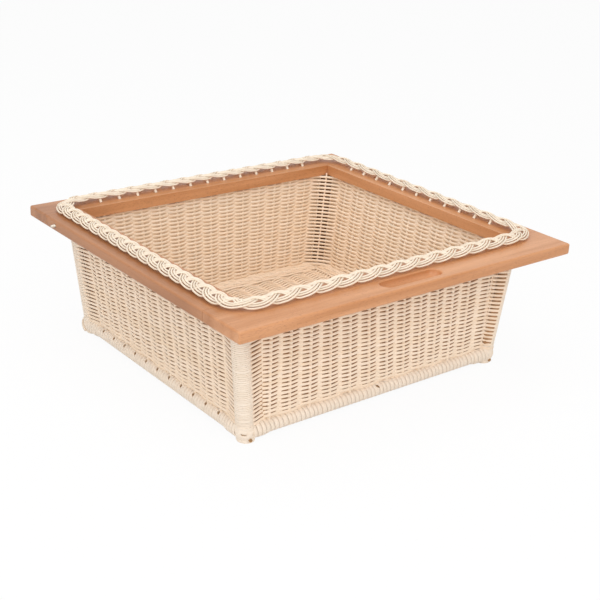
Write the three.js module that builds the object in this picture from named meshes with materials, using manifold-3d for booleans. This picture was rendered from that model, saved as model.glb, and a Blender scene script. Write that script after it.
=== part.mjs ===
// Pull-out storage basket: woven rattan round four corner posts, hung in a beech drawer frame.
// Millimetres, +Z up, the front faces -Y. The origin is on the floor under the middle of the frame.
import * as THREE from 'three';
import { mergeVertices } from 'three/addons/utils/BufferGeometryUtils.js';
import Module from 'manifold-3d';

// Clearances
const FIT_GAP = 0.3; // between seated or butted neighbours
const TURN_GAP = 0.8; // between neighbouring turns of a binding
const CUT_PAST = 5; // how far a cutter runs past the face that it opens

// Beech frame
const FRAME_WIDTH = 560;
const FRAME_DEPTH = 525;
const FRAME_TOP = 193; // height above the floor
const RAIL_THICKNESS = 16;
const FRONT_RAIL_WIDTH = 75;
const BACK_RAIL_WIDTH = 54;
const SIDE_RAIL_WIDTH = 54;
const LIP_ROUNDING = 3;
const DOWEL_DIAMETER = 8;
const DOWEL_LENGTH = 40;
const DOWEL_FROM_LIP = 12; // lip to the outer dowel's axis
const DOWEL_SPACING = 20;
const STOP_PIN_DIAMETER = 4;
const STOP_PIN_LENGTH = 22;
const STOP_PIN_SHOWS = 6;
const STOP_PIN_FROM_BACK = 78;

// Finger grip, routed blind into the front rail
const GRIP_LENGTH = 104;
const GRIP_WIDTH = 26;
const GRIP_DEPTH = 9;
const GRIP_ROUNDING = 4;
const GRIP_FROM_FRONT = 22.5; // front lip to the grip's middle

// Stakes and woven walls
const STAKE_DIAMETER = 5.4;
const STAKE_PITCH = 31;
const STAKE_SET_BACK = 8.5; // rail's inner face to the stakes' axis
const STAKE_FROM_POST = 25; // least distance of the last stake from the bound post
const STAKE_ROOT = 3; // how deep the stakes' upper ends are set into the woven walls
const STAKE_RUN_OUT = 9; // how far outwards they run on their way up through the rails, to the border
const WEAVE_THICKNESS = 9.2; // over the ribs that the stakes make
const WEAVE_VALLEY = 3.2; // thickness midway between two stakes
const RIB_CREST = 8; // width of a rib's crest
const WEAVE_BELOW_RAIL = 2.4; // the top row stops this far under the rails
const SIDE_LEAN = 20.4; // how far a side wall comes in from the rails down to the floor
const FRONT_LEAN = 8.4; // the same for the front and back walls
const FRONT_DRIFT = 7; // how far the front wall's outer stakes run to the right on their way down
const FRONT_DRIFT_MORE = 15; // what is added in the wall's middle
const FRONT_DRIFT_SPREAD = 110; // how far from the middle the added drift fades

// Corner posts and base bars
const POST_DIAMETER = 23; // over the binding
const POST_SET_IN = 2.6; // stakes' axis to the post's axis, along X and along Y
const FOOT_DIAMETER = 22.4;
const FOOT_CHAMFER = 2;
const TENON_DIAMETER = 8;
const TENON_LENGTH = 10;
const BAR_DIAMETER = 19; // over the binding
const BAR_LIFT = 3.5; // floor to the underside of the bars
const FLOOR_THICKNESS = 9.4; // over the ribs that its sticks make
const FLOOR_RISE = 2.5; // bars' axis to the middle of the woven floor

// Cane bindings, wound round the posts and the bars
const BINDING_THICKNESS = 1.6;
const BINDING_FLAT_SHARE = 0.6; // width of the strip's flat outer face, as a share of its width
const POST_TURNS = 12;
const BAR_TURNS = 23;
const STEPS_PER_TURN = 8;
const BAR_BINDING_END = 2; // foot to the first turn

// Plaited border on top of the rails
const BORDER_WIDTH = 26;
const BORDER_FOOT_WIDTH = 18; // where it lies on the rails
const BORDER_HEIGHT = 11;
const BORDER_WIDEST = 4.4; // height of its widest line
const BORDER_ROUND_STEPS = 4;
const BORDER_SET_OUT = 17; // stakes' axis to the middle of the border
const BORDER_CORNER = 35; // radius of the border's middle line
const CORNER_STEPS = 8;

// Facets of round shapes
const ROUND_SIDES = 12;
const STAKE_SIDES = 8;
const ROUNDING_STEPS = 3;

// Heights and places that follow from the sizes above
const RAIL_UNDERSIDE = FRAME_TOP - RAIL_THICKNESS;
const RAIL_MIDDLE = FRAME_TOP - RAIL_THICKNESS / 2;
const BAR_AXIS = BAR_LIFT + BAR_DIAMETER / 2;
const BAR_TOP = BAR_LIFT + BAR_DIAMETER;
const HALF_WIDTH = FRAME_WIDTH / 2;
const HALF_DEPTH = FRAME_DEPTH / 2;
const OPENING = {
  x: HALF_WIDTH - SIDE_RAIL_WIDTH,
  front: -HALF_DEPTH + FRONT_RAIL_WIDTH,
  back: HALF_DEPTH - BACK_RAIL_WIDTH,
};
const STAKE_BEND = RAIL_UNDERSIDE - WEAVE_BELOW_RAIL - STAKE_ROOT;
const STAKE_LINE = {
  x: OPENING.x + STAKE_SET_BACK,
  front: OPENING.front - STAKE_SET_BACK,
  back: OPENING.back + STAKE_SET_BACK,
};

const wasm = await Module();
wasm.setup();

// A closed three.js geometry as a solid that can be joined and cut
function solidOf(geometry) {
  const bare = new THREE.BufferGeometry();
  bare.setAttribute('position', geometry.getAttribute('position').clone());
  if (geometry.index) {
    bare.setIndex(geometry.index.clone());
  }
  const merged = mergeVertices(bare, 1e-4);
  const index = merged.index.array;
  const triangles = [];
  for (let i = 0; i < index.length; i += 3) {
    const [a, b, c] = index.slice(i, i + 3);
    if (a !== b && b !== c && c !== a) {
      triangles.push(a, b, c);
    }
  }
  return new wasm.Manifold(new wasm.Mesh({
    numProp: 3,
    vertProperties: new Float32Array(merged.getAttribute('position').array),
    triVerts: new Uint32Array(triangles),
  }));
}

function geometryOf(solid) {
  const mesh = solid.getMesh();
  const geometry = new THREE.BufferGeometry();
  geometry.setAttribute('position', new THREE.BufferAttribute(mesh.vertProperties, 3));
  geometry.setIndex(new THREE.BufferAttribute(mesh.triVerts, 1));
  geometry.computeVertexNormals();
  return geometry;
}

function box(low, high) {
  const size = high.map((value, axis) => value - low[axis]);
  const middle = high.map((value, axis) => (value + low[axis]) / 2);
  return new THREE.BoxGeometry(...size).translate(...middle);
}

// An upright cylinder between two heights
function upright(diameter, bottom, top, sides = ROUND_SIDES) {
  const cylinder = new THREE.CylinderGeometry(diameter / 2, diameter / 2, top - bottom, sides);
  return cylinder.rotateX(Math.PI / 2).translate(0, 0, (top + bottom) / 2);
}

// Slides each level of a geometry sideways, so that an upright shape leans and stays level on top
function leaned(geometry, slopeX, slopeY, stillHeight) {
  const shear = new THREE.Matrix4().set(
    1, 0, slopeX, -slopeX * stillHeight,
    0, 1, slopeY, -slopeY * stillHeight,
    0, 0, 1, 0,
    0, 0, 0, 1,
  );
  return geometry.applyMatrix4(shear);
}

// Closes a row of equal rings of points into a skin, as a loop or as a tube with two end faces
function skinned(rings, isLoop) {
  const count = rings[0].length;
  const index = [];
  const last = isLoop ? rings.length : rings.length - 1;
  for (let i = 0; i < last; i += 1) {
    const near = i * count;
    const far = ((i + 1) % rings.length) * count;
    for (let j = 0; j < count; j += 1) {
      const next = (j + 1) % count;
      index.push(near + j, near + next, far + next, near + j, far + next, far + j);
    }
  }
  if (!isLoop) {
    const end = (rings.length - 1) * count;
    for (let j = 1; j < count - 1; j += 1) {
      index.push(0, j + 1, j, end, end + j, end + j + 1);
    }
  }
  const geometry = new THREE.BufferGeometry();
  const points = rings.flat().flatMap((point) => point.toArray());
  geometry.setAttribute('position', new THREE.Float32BufferAttribute(points, 3));
  geometry.setIndex(index);
  return geometry;
}

// A solid between two level outlines that run anticlockwise and have equally many points
function lofted(lowOutline, low, highOutline, high) {
  const count = lowOutline.length;
  const index = [];
  for (let i = 0; i < count; i += 1) {
    const next = (i + 1) % count;
    index.push(i, next, next + count, i, next + count, i + count);
  }
  for (const [a, b, c] of THREE.ShapeUtils.triangulateShape(highOutline, [])) {
    index.push(a + count, b + count, c + count, a, c, b);
  }
  const points = [
    ...lowOutline.flatMap(({ x, y }) => [x, y, low]),
    ...highOutline.flatMap(({ x, y }) => [x, y, high]),
  ];
  const geometry = new THREE.BufferGeometry();
  geometry.setAttribute('position', new THREE.Float32BufferAttribute(points, 3));
  geometry.setIndex(index);
  return geometry;
}

// Outline across a woven slab: a crest at each rib on both faces, and a valley midway between two ribs
function ribbedOutline(ribs, halfLength, thickness) {
  const face = [[-halfLength, WEAVE_VALLEY / 2]];
  ribs.forEach((rib, i) => {
    face.push([rib - RIB_CREST / 2, thickness / 2], [rib + RIB_CREST / 2, thickness / 2]);
    if (i + 1 < ribs.length) {
      face.push([(rib + ribs[i + 1]) / 2, WEAVE_VALLEY / 2]);
    }
  });
  face.push([halfLength, WEAVE_VALLEY / 2]);
  return [
    ...face.map(([along, out]) => new THREE.Vector2(along, -out)),
    ...face.map(([along, out]) => new THREE.Vector2(along, out)).reverse(),
  ];
}

const basket = new THREE.Group();

function finish(color, roughness, metalness = 0) {
  return () => new THREE.MeshStandardMaterial({ color, roughness, metalness });
}
const beech = finish(0xc98a5c, 0.45);
const dowelWood = finish(0xd9b58a, 0.7);
const steel = finish(0xc9c7c2, 0.35, 1);
const pole = finish(0xe6cfa6, 0.6);
const cane = finish(0xf0e4cb, 0.5);
const weave = finish(0xeed3b0, 0.6);

function addPiece(name, geometry, material) {
  const mesh = new THREE.Mesh(geometry, material());
  mesh.name = name;
  basket.add(mesh);
}

// The four walls, each seen from outside with its local X along the wall and -Y outwards
const SIDE_SPAN_MIDDLE = (STAKE_LINE.front + STAKE_LINE.back) / 2;
const SIDE_SPAN = STAKE_LINE.back - STAKE_LINE.front - 2 * POST_SET_IN;
const FRONT_SPAN = 2 * (STAKE_LINE.x - POST_SET_IN);
const WALLS = [
  { name: 'front', turn: 0, distance: -STAKE_LINE.front, middle: 0, span: FRONT_SPAN,
    lean: FRONT_LEAN, endLean: SIDE_LEAN },
  { name: 'right', turn: Math.PI / 2, distance: STAKE_LINE.x, middle: SIDE_SPAN_MIDDLE, span: SIDE_SPAN,
    lean: SIDE_LEAN, endLean: FRONT_LEAN },
  { name: 'back', turn: Math.PI, distance: STAKE_LINE.back, middle: 0, span: FRONT_SPAN,
    lean: FRONT_LEAN, endLean: SIDE_LEAN },
  { name: 'left', turn: -Math.PI / 2, distance: STAKE_LINE.x, middle: -SIDE_SPAN_MIDDLE, span: SIDE_SPAN,
    lean: SIDE_LEAN, endLean: FRONT_LEAN },
];
const CORNERS = [
  { name: 'front_left', x: -1, y: STAKE_LINE.front, inward: 1 },
  { name: 'front_right', x: 1, y: STAKE_LINE.front, inward: 1 },
  { name: 'back_right', x: 1, y: STAKE_LINE.back, inward: -1 },
  { name: 'back_left', x: -1, y: STAKE_LINE.back, inward: -1 },
];

// How far a wall has come in at a height, from none at the rails' underside to all of its lean at the floor
function comeIn(lean, height) {
  return lean * (RAIL_UNDERSIDE - height) / RAIL_UNDERSIDE;
}

// Places of the stakes along one wall, from its middle: as many at an even pitch as fit between the posts
function stakePlaces(wall) {
  const clearOfPosts = wall.span / 2 - POST_DIAMETER / 2 - STAKE_FROM_POST;
  const gaps = Math.floor(2 * clearOfPosts / STAKE_PITCH);
  return Array.from({ length: gaps + 1 }, (_, i) => (i - gaps / 2) * STAKE_PITCH);
}

// Where a stake comes to the floor: closer together than at the rails, or run to the right in the front wall
function stakeFoot(wall, place) {
  if (wall.name === 'front') {
    return place + FRONT_DRIFT + FRONT_DRIFT_MORE * Math.exp(-((place / FRONT_DRIFT_SPREAD) ** 2));
  }
  return place * (1 - wall.endLean / (wall.span / 2));
}

// The stakes' upper ends, or the holes for them, which lean outwards so as to come up under the border
function stakesOf(wall, diameter, bottom, top) {
  const slope = STAKE_RUN_OUT / (FRAME_TOP - STAKE_BEND);
  return stakePlaces(wall).map((place) => {
    const stake = leaned(upright(diameter, bottom, top, STAKE_SIDES), 0, -slope, STAKE_BEND);
    return solidOf(stake.translate(wall.middle + place, -wall.distance, 0).rotateZ(wall.turn));
  });
}

// Moves an upright shape at the origin to a corner post's axis and gives it that post's lean
function atCorner(geometry, corner) {
  const slopeX = corner.x * SIDE_LEAN / RAIL_UNDERSIDE;
  const slopeY = -corner.inward * FRONT_LEAN / RAIL_UNDERSIDE;
  const placed = leaned(geometry, slopeX, slopeY, RAIL_UNDERSIDE);
  return placed.translate(corner.x * (STAKE_LINE.x - POST_SET_IN), corner.y + corner.inward * POST_SET_IN, 0);
}

// A cane strip wound along +Z round a core: a flat strip with sloped edges, one unbroken tube
function windingRings(outerDiameter, bottom, top, turns) {
  const stripWidth = (top - bottom - turns * TURN_GAP) / (turns + 1);
  const pitch = stripWidth + TURN_GAP;
  const slope = stripWidth * (1 - BINDING_FLAT_SHARE) / 2;
  const outer = outerDiameter / 2;
  const section = [
    [0, outer - BINDING_THICKNESS],
    [stripWidth, outer - BINDING_THICKNESS],
    [stripWidth - slope, outer],
    [slope, outer],
  ];
  return Array.from({ length: turns * STEPS_PER_TURN + 1 }, (_, step) => {
    const angle = 2 * Math.PI * step / STEPS_PER_TURN;
    const rise = bottom + pitch * step / STEPS_PER_TURN;
    return section.map(([along, radius]) => new THREE.Vector3(
      radius * Math.cos(angle), radius * Math.sin(angle), rise + along,
    ));
  });
}

// The radius that a binding leaves free for its core, between the middles of its straight steps
function coreRadius(outerDiameter) {
  return (outerDiameter / 2 - BINDING_THICKNESS) * Math.cos(Math.PI / STEPS_PER_TURN) - FIT_GAP;
}

// Least distance between the points of one turn and those of the next
function leastGap(rings) {
  let least = Infinity;
  for (let i = 0; i + STEPS_PER_TURN < rings.length; i += 1) {
    for (const point of rings[i]) {
      for (const other of rings[i + STEPS_PER_TURN]) {
        least = Math.min(least, point.distanceTo(other));
      }
    }
  }
  return least;
}

// The whole frame as one slab with a rounded lip, from which the rails are cut
function lipProfile(halfLength) {
  const shape = new THREE.Shape();
  const reach = halfLength - LIP_ROUNDING;
  const low = RAIL_UNDERSIDE + LIP_ROUNDING;
  const high = FRAME_TOP - LIP_ROUNDING;
  shape.absarc(reach, low, LIP_ROUNDING, -Math.PI / 2, 0);
  shape.absarc(reach, high, LIP_ROUNDING, 0, Math.PI / 2);
  shape.absarc(-reach, high, LIP_ROUNDING, Math.PI / 2, Math.PI);
  shape.absarc(-reach, low, LIP_ROUNDING, Math.PI, 1.5 * Math.PI);
  return shape;
}

function lipSlab(halfLength, run) {
  const options = { depth: run, bevelEnabled: false, curveSegments: ROUNDING_STEPS };
  const slab = new THREE.ExtrudeGeometry(lipProfile(halfLength), options);
  return slab.translate(0, 0, -run / 2).rotateX(Math.PI / 2);
}

function gripCutter() {
  const shape = new THREE.Shape();
  const reach = (GRIP_LENGTH - GRIP_WIDTH) / 2;
  shape.absarc(reach, 0, GRIP_WIDTH / 2, -Math.PI / 2, Math.PI / 2);
  shape.absarc(-reach, 0, GRIP_WIDTH / 2, Math.PI / 2, 1.5 * Math.PI);
  const cutter = new THREE.ExtrudeGeometry(shape, {
    depth: GRIP_DEPTH + CUT_PAST - GRIP_ROUNDING,
    bevelThickness: GRIP_ROUNDING,
    bevelSize: GRIP_ROUNDING,
    bevelOffset: -GRIP_ROUNDING,
    bevelSegments: ROUNDING_STEPS,
    curveSegments: ROUND_SIDES / 2,
  });
  return cutter.translate(0, -HALF_DEPTH + GRIP_FROM_FRONT, FRAME_TOP - GRIP_DEPTH + GRIP_ROUNDING);
}

const wideSlab = solidOf(lipSlab(HALF_WIDTH, FRAME_DEPTH + 2 * CUT_PAST));
const deepSlab = solidOf(lipSlab(HALF_DEPTH, FRAME_WIDTH + 2 * CUT_PAST).rotateZ(Math.PI / 2));
const frameSlab = wideSlab.intersect(deepSlab);

// Dowels across the butt joints, where the side rails meet the front and back rails
const DOWELS = [];
for (const side of [-1, 1]) {
  for (const [end, joint] of [['front', OPENING.front], ['back', OPENING.back]]) {
    for (const [place, offset] of [['outer', 0], ['inner', DOWEL_SPACING]]) {
      const x = side * (HALF_WIDTH - DOWEL_FROM_LIP - offset);
      DOWELS.push({ name: `dowel_${end}_${side < 0 ? 'left' : 'right'}_${place}`, x, y: joint });
    }
  }
}

function dowel(place, gap) {
  const length = DOWEL_LENGTH + 2 * gap;
  const cylinder = upright(DOWEL_DIAMETER + 2 * gap, -length / 2, length / 2);
  return cylinder.rotateX(Math.PI / 2).translate(place.x, place.y, RAIL_MIDDLE);
}

// The stop pins stand out of the lip on both sides, near the back
function stopPin(side, gap) {
  const tip = HALF_WIDTH + STOP_PIN_SHOWS;
  const pin = upright(STOP_PIN_DIAMETER + 2 * gap, tip - STOP_PIN_LENGTH - gap, tip, STAKE_SIDES);
  return pin.rotateY(side * Math.PI / 2).translate(0, HALF_DEPTH - STOP_PIN_FROM_BACK, RAIL_MIDDLE);
}

function tenonSocket(corner) {
  const socket = upright(
    TENON_DIAMETER + 2 * FIT_GAP, RAIL_UNDERSIDE - CUT_PAST, RAIL_UNDERSIDE + TENON_LENGTH + FIT_GAP,
  );
  return solidOf(atCorner(socket, corner));
}

const holes = [
  ...WALLS.flatMap((wall) => stakesOf(
    wall, STAKE_DIAMETER + 2 * FIT_GAP, RAIL_UNDERSIDE - CUT_PAST, FRAME_TOP + CUT_PAST,
  )),
  ...DOWELS.map((place) => solidOf(dowel(place, FIT_GAP))),
  ...[-1, 1].map((side) => solidOf(stopPin(side, FIT_GAP))),
  ...CORNERS.map(tenonSocket),
  solidOf(gripCutter()),
].reduce((all, hole) => all.add(hole));

const RAILS = [
  ['front_rail', [-HALF_WIDTH, -HALF_DEPTH], [HALF_WIDTH, OPENING.front]],
  ['back_rail', [-HALF_WIDTH, OPENING.back], [HALF_WIDTH, HALF_DEPTH]],
  ['left_rail', [-HALF_WIDTH, OPENING.front + FIT_GAP], [-OPENING.x, OPENING.back - FIT_GAP]],
  ['right_rail', [OPENING.x, OPENING.front + FIT_GAP], [HALF_WIDTH, OPENING.back - FIT_GAP]],
];
for (const [name, low, high] of RAILS) {
  const blank = solidOf(box([...low, RAIL_UNDERSIDE], [...high, FRAME_TOP]));
  addPiece(name, geometryOf(frameSlab.intersect(blank).subtract(holes)), beech);
}
for (const place of DOWELS) {
  addPiece(place.name, geometryOf(solidOf(dowel(place, 0))), dowelWood);
}
addPiece('stop_pin_left', geometryOf(solidOf(stopPin(-1, 0))), steel);
addPiece('stop_pin_right', geometryOf(solidOf(stopPin(1, 0))), steel);

// Corner posts: a wide foot, a bound shaft and a tenon in the rail, turned in one piece
function cornerPost() {
  const shaft = coreRadius(POST_DIAMETER);
  const top = RAIL_UNDERSIDE - FIT_GAP;
  const foot = FOOT_DIAMETER / 2;
  const profile = [
    [0, 0],
    [foot - FOOT_CHAMFER, 0],
    [foot, FOOT_CHAMFER],
    [foot, BAR_TOP],
    [shaft, BAR_TOP],
    [shaft, top],
    [TENON_DIAMETER / 2, top],
    [TENON_DIAMETER / 2, RAIL_UNDERSIDE + TENON_LENGTH],
    [0, RAIL_UNDERSIDE + TENON_LENGTH],
  ].map(([radius, height]) => new THREE.Vector2(radius, height));
  return new THREE.LatheGeometry(profile, ROUND_SIDES).rotateX(Math.PI / 2);
}

const postRings = windingRings(POST_DIAMETER, BAR_TOP + FIT_GAP, RAIL_UNDERSIDE - FIT_GAP, POST_TURNS);
console.log(`post binding, least gap to itself: ${leastGap(postRings).toFixed(2)} mm`);
for (const corner of CORNERS) {
  addPiece(`post_${corner.name}`, geometryOf(solidOf(atCorner(cornerPost(), corner))), pole);
  const binding = skinned(postRings, false);
  addPiece(`post_binding_${corner.name}`, geometryOf(solidOf(atCorner(binding, corner))), cane);
}

// What the walls, bars and floor have to stay clear of
const boundPosts = CORNERS.map((corner) => solidOf(
  atCorner(upright(POST_DIAMETER + 4 * FIT_GAP, -CUT_PAST, FRAME_TOP, 2 * ROUND_SIDES), corner),
)).reduce((all, post) => all.add(post));
const feet = CORNERS.map((corner) => solidOf(
  atCorner(upright(FOOT_DIAMETER + 2 * FIT_GAP, -CUT_PAST, BAR_TOP + FIT_GAP, 2 * ROUND_SIDES), corner),
)).reduce((all, foot) => all.add(foot));

// A shape that lies along +Z at the origin, laid along one wall at the bars' height
function alongBar(geometry, wall) {
  const distance = wall.distance - comeIn(wall.lean, BAR_AXIS);
  return geometry.rotateY(Math.PI / 2).translate(wall.middle, -distance, BAR_AXIS).rotateZ(wall.turn);
}

for (const wall of WALLS) {
  const halfSpan = wall.span / 2 - comeIn(wall.endLean, BAR_AXIS);
  const core = upright(2 * coreRadius(BAR_DIAMETER), -halfSpan, halfSpan);
  const bar = solidOf(alongBar(core, wall)).subtract(feet);
  addPiece(`base_bar_${wall.name}`, geometryOf(bar), pole);

  const reach = halfSpan - FOOT_DIAMETER / 2 - BAR_BINDING_END;
  const rings = windingRings(BAR_DIAMETER, -reach, reach, BAR_TURNS);
  console.log(`${wall.name} bar binding, least gap to itself: ${leastGap(rings).toFixed(2)} mm`);
  const binding = alongBar(skinned(rings, false), wall);
  addPiece(`bar_binding_${wall.name}`, geometryOf(solidOf(binding)), cane);
}

// Each woven wall is a leaning slab between its posts, from the bar up to the rail, with a rib over each stake
// and its stake ends on top. Those start a weave's thickness below the slab's top, so they are part of it.
function wallSlab(wall) {
  const bottom = BAR_TOP + FIT_GAP;
  const top = RAIL_UNDERSIDE - WEAVE_BELOW_RAIL;
  const outlineAt = (height) => {
    const down = comeIn(1, height);
    const ribs = stakePlaces(wall).map((place) => place + (stakeFoot(wall, place) - place) * down);
    const outline = ribbedOutline(ribs, wall.span / 2 - comeIn(wall.endLean, height), WEAVE_THICKNESS);
    const shift = new THREE.Vector2(wall.middle, comeIn(wall.lean, height) - wall.distance);
    return outline.map((point) => point.add(shift));
  };
  return lofted(outlineAt(bottom), bottom, outlineAt(top), top).rotateZ(wall.turn);
}

for (const wall of WALLS) {
  const slab = solidOf(wallSlab(wall)).subtract(boundPosts);
  const stakes = stakesOf(wall, STAKE_DIAMETER, STAKE_BEND, FRAME_TOP);
  const wallWithStakes = stakes.reduce((all, stake) => all.add(stake), slab);
  addPiece(`wall_${wall.name}`, geometryOf(wallWithStakes), weave);
}

// The woven floor lies between the bars, with a rib over each stick that runs from front to back, and is cut
// round the bars and the feet
const [frontWall, rightWall, backWall] = WALLS;
const floorReach = {
  x: rightWall.distance - comeIn(rightWall.lean, BAR_AXIS),
  front: -frontWall.distance + comeIn(frontWall.lean, BAR_AXIS),
  back: backWall.distance - comeIn(backWall.lean, BAR_AXIS),
};
const floorMiddle = BAR_AXIS + FLOOR_RISE;
const boundBars = WALLS.map((wall) => {
  const halfSpan = wall.span / 2;
  return solidOf(alongBar(upright(BAR_DIAMETER + 2 * FIT_GAP, -halfSpan, halfSpan, 2 * ROUND_SIDES), wall));
}).reduce((all, bar) => all.add(bar));
const floorOutline = ribbedOutline(stakePlaces(frontWall), floorReach.x, FLOOR_THICKNESS);
const floorBlank = solidOf(
  lofted(floorOutline, -floorReach.back, floorOutline, -floorReach.front)
    .rotateX(Math.PI / 2).translate(0, 0, floorMiddle),
);
addPiece('floor', geometryOf(floorBlank.subtract(boundBars).subtract(feet)), weave);

// The plaited border is a closed ring on top of the rails, flat below and rounded above
function borderRings() {
  const crown = Array.from({ length: BORDER_ROUND_STEPS + 1 }, (_, step) => {
    const angle = Math.PI * (1 - step / BORDER_ROUND_STEPS);
    const height = BORDER_WIDEST + (BORDER_HEIGHT - BORDER_WIDEST) * Math.sin(angle);
    return [BORDER_WIDTH / 2 * Math.cos(angle), height];
  });
  const section = [[-BORDER_FOOT_WIDTH / 2, 0], ...crown, [BORDER_FOOT_WIDTH / 2, 0]];
  const reachX = STAKE_LINE.x + BORDER_SET_OUT - BORDER_CORNER;
  const centres = [
    [reachX, STAKE_LINE.back + BORDER_SET_OUT - BORDER_CORNER],
    [-reachX, STAKE_LINE.back + BORDER_SET_OUT - BORDER_CORNER],
    [-reachX, STAKE_LINE.front - BORDER_SET_OUT + BORDER_CORNER],
    [reachX, STAKE_LINE.front - BORDER_SET_OUT + BORDER_CORNER],
  ];
  return centres.flatMap(([x, y], quarter) => Array.from({ length: CORNER_STEPS + 1 }, (_, step) => {
    const angle = (quarter + step / CORNER_STEPS) * Math.PI / 2;
    return section.map(([outward, height]) => new THREE.Vector3(
      x + (BORDER_CORNER + outward) * Math.cos(angle),
      y + (BORDER_CORNER + outward) * Math.sin(angle),
      FRAME_TOP + FIT_GAP + height,
    ));
  }));
}
addPiece('border', geometryOf(solidOf(skinned(borderRings(), true))), cane);

export default basket;
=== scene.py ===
import math
import random

import bmesh
import bpy
import numpy as np
from mathutils import Matrix, Vector, noise


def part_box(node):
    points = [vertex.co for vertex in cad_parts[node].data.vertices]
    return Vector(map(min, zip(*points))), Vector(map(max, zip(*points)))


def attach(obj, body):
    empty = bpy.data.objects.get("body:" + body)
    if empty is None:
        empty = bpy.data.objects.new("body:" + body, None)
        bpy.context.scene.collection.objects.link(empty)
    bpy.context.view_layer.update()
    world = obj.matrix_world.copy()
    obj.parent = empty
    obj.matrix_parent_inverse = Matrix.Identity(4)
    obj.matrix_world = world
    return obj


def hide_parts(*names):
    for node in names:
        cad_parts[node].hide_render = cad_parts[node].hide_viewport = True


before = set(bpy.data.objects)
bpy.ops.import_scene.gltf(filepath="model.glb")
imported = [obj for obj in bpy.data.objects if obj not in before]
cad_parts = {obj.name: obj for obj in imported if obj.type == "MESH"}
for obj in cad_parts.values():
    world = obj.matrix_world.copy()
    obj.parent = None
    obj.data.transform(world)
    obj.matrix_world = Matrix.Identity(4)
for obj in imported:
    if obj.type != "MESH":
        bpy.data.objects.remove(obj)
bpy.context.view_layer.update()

# Frame boards. Four planed boards of steamed beech under satin lacquer: the front and back boards run the
# full width, the side boards are dowelled between them, and the outer lip is rounded over with a router.
# The front board has a blind, round-ended hollow for the fingertips, and each side board a hole for a pin.
LIP_ROUNDING = 0.003
ARRIS = 0.0005
ARRIS_STEPS = 2
GRIP_LENGTH = 0.104
GRIP_WIDTH = 0.026
GRIP_DEPTH = 0.009
GRIP_RIM = 0.0022
GRIP_ROUNDING = 0.0066
GRIP_FROM_FRONT = 0.0225
PIN_HOLE = 0.0062
PIN_HOLE_DEPTH = 0.005
PIN_HOLE_RIM = 0.0004
HOLLOW_SIDES = 56
ROUNDING_STEPS = 4
QUARTER_TURN = [math.pi / 2 * step / ROUNDING_STEPS for step in range(ROUNDING_STEPS + 1)]
SMOOTH_BELOW = math.radians(45)
FACING = 0.99
BEECH_PALE = "DDA173"
BEECH_DEEP = "BB7A45"
# A darker beech for the back left, partly painted shade and partly a deeper wood.
SHADE_AND_DARK_BEECH_PALE = "B87C4E"
SHADE_AND_DARK_BEECH_DEEP = "91592D"
BEECH_RAY = "8A4E28"
DARK_END = -0.15
DARK_LENGTH = 0.12
LIGHT_FRONT = -0.25
LIGHT_LENGTH = 0.1
RING_SIZE = (0.35, 0.016, 0.016)
RING_SHARE = 0.6
GRAIN_SIZE = (0.05, 0.0016, 0.0016)
GRAIN_RELIEF = 0.0001
RAY_SIZE = (0.004, 0.0006, 0.0006)
RAY_SHARE = 0.4
RUN_OUT_ALONG_X = 1.6
RUN_OUT_ALONG_Y = 1.0


class Shade:
    """One socket of a material's nodes. Arithmetic on it adds Math nodes."""

    def __init__(self, tree, socket=None):
        self.tree = tree
        self.socket = socket

    def node(self, kind, inputs=None, settings=None, output=0):
        """Add a node: its settings first, then the values or links of its sockets."""
        node = self.tree.nodes.new("ShaderNode" + kind)
        for name, value in (settings or {}).items():
            if name == "stops":
                for stop, (position, level) in zip(node.color_ramp.elements, value):
                    stop.position = position
                    stop.color = (level, level, level, 1)
            else:
                setattr(node, name, value)
        for name, value in (inputs or {}).items():
            if isinstance(value, Shade):
                self.tree.links.new(value.socket, node.inputs[name])
            else:
                node.inputs[name].default_value = value
        return Shade(self.tree, node.outputs[output] if node.outputs else None)

    def maths(self, operation, first, second):
        return self.node("Math", {0: first, 1: second}, {"operation": operation})

    def __add__(self, other):
        return self.maths("ADD", self, other)

    def __sub__(self, other):
        return self.maths("SUBTRACT", self, other)

    def __rsub__(self, other):
        return self.maths("SUBTRACT", other, self)

    def __mul__(self, other):
        return self.maths("MULTIPLY", self, other)

    __radd__ = __add__


def tint(code):
    """A colour written as six hex digits, as the linear colour that a socket takes."""
    levels = [int(code[start:start + 2], 16) / 255 for start in (0, 2, 4)]
    return [level / 12.92 if level <= 0.04045 else ((level + 0.055) / 1.055) ** 2.4 for level in levels] + [1]


def new_finish(name):
    """An empty material, and the Shade that adds its nodes."""
    material = bpy.data.materials.new(name)
    material.use_nodes = True
    material.node_tree.nodes.clear()
    return material, Shade(material.node_tree)


def noise_on(paint, detail, place=None, scale=1.0, stretch=None):
    """Noise over the object or a place. Its marks are stretch metres long on each axis if that is given."""
    place = place or paint.node("TexCoord", output="Object")
    if stretch:
        marks = [1 / size for size in stretch]
        place = paint.node("Mapping", {"Vector": place, "Scale": marks})
    return paint.node("TexNoise", {"Vector": place, "Scale": scale, "Detail": detail})


def between(paint, value, low, high):
    """A value's share of the way from low to high, held to 0 and 1."""
    return paint.node("ValToRGB", {"Fac": value}, {"stops": [(low, 0), (high, 1)]})


def blend_colours(paint, factor, first, second):
    """A colour between two others."""
    return paint.node("Mix", {0: factor, 6: first, 7: second}, {"data_type": "RGBA"}, output=2)


def close_finish(paint, height, relief, **sockets):
    """The material's surface, with this height as a bump that is relief metres deep."""
    inputs = {name.replace("_", " "): value for name, value in sockets.items()}
    inputs["Normal"] = paint.node("Bump", {"Strength": 1, "Distance": relief, "Height": height})
    surface = paint.node("BsdfPrincipled", inputs)
    paint.node("OutputMaterial", {"Surface": surface})


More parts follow.
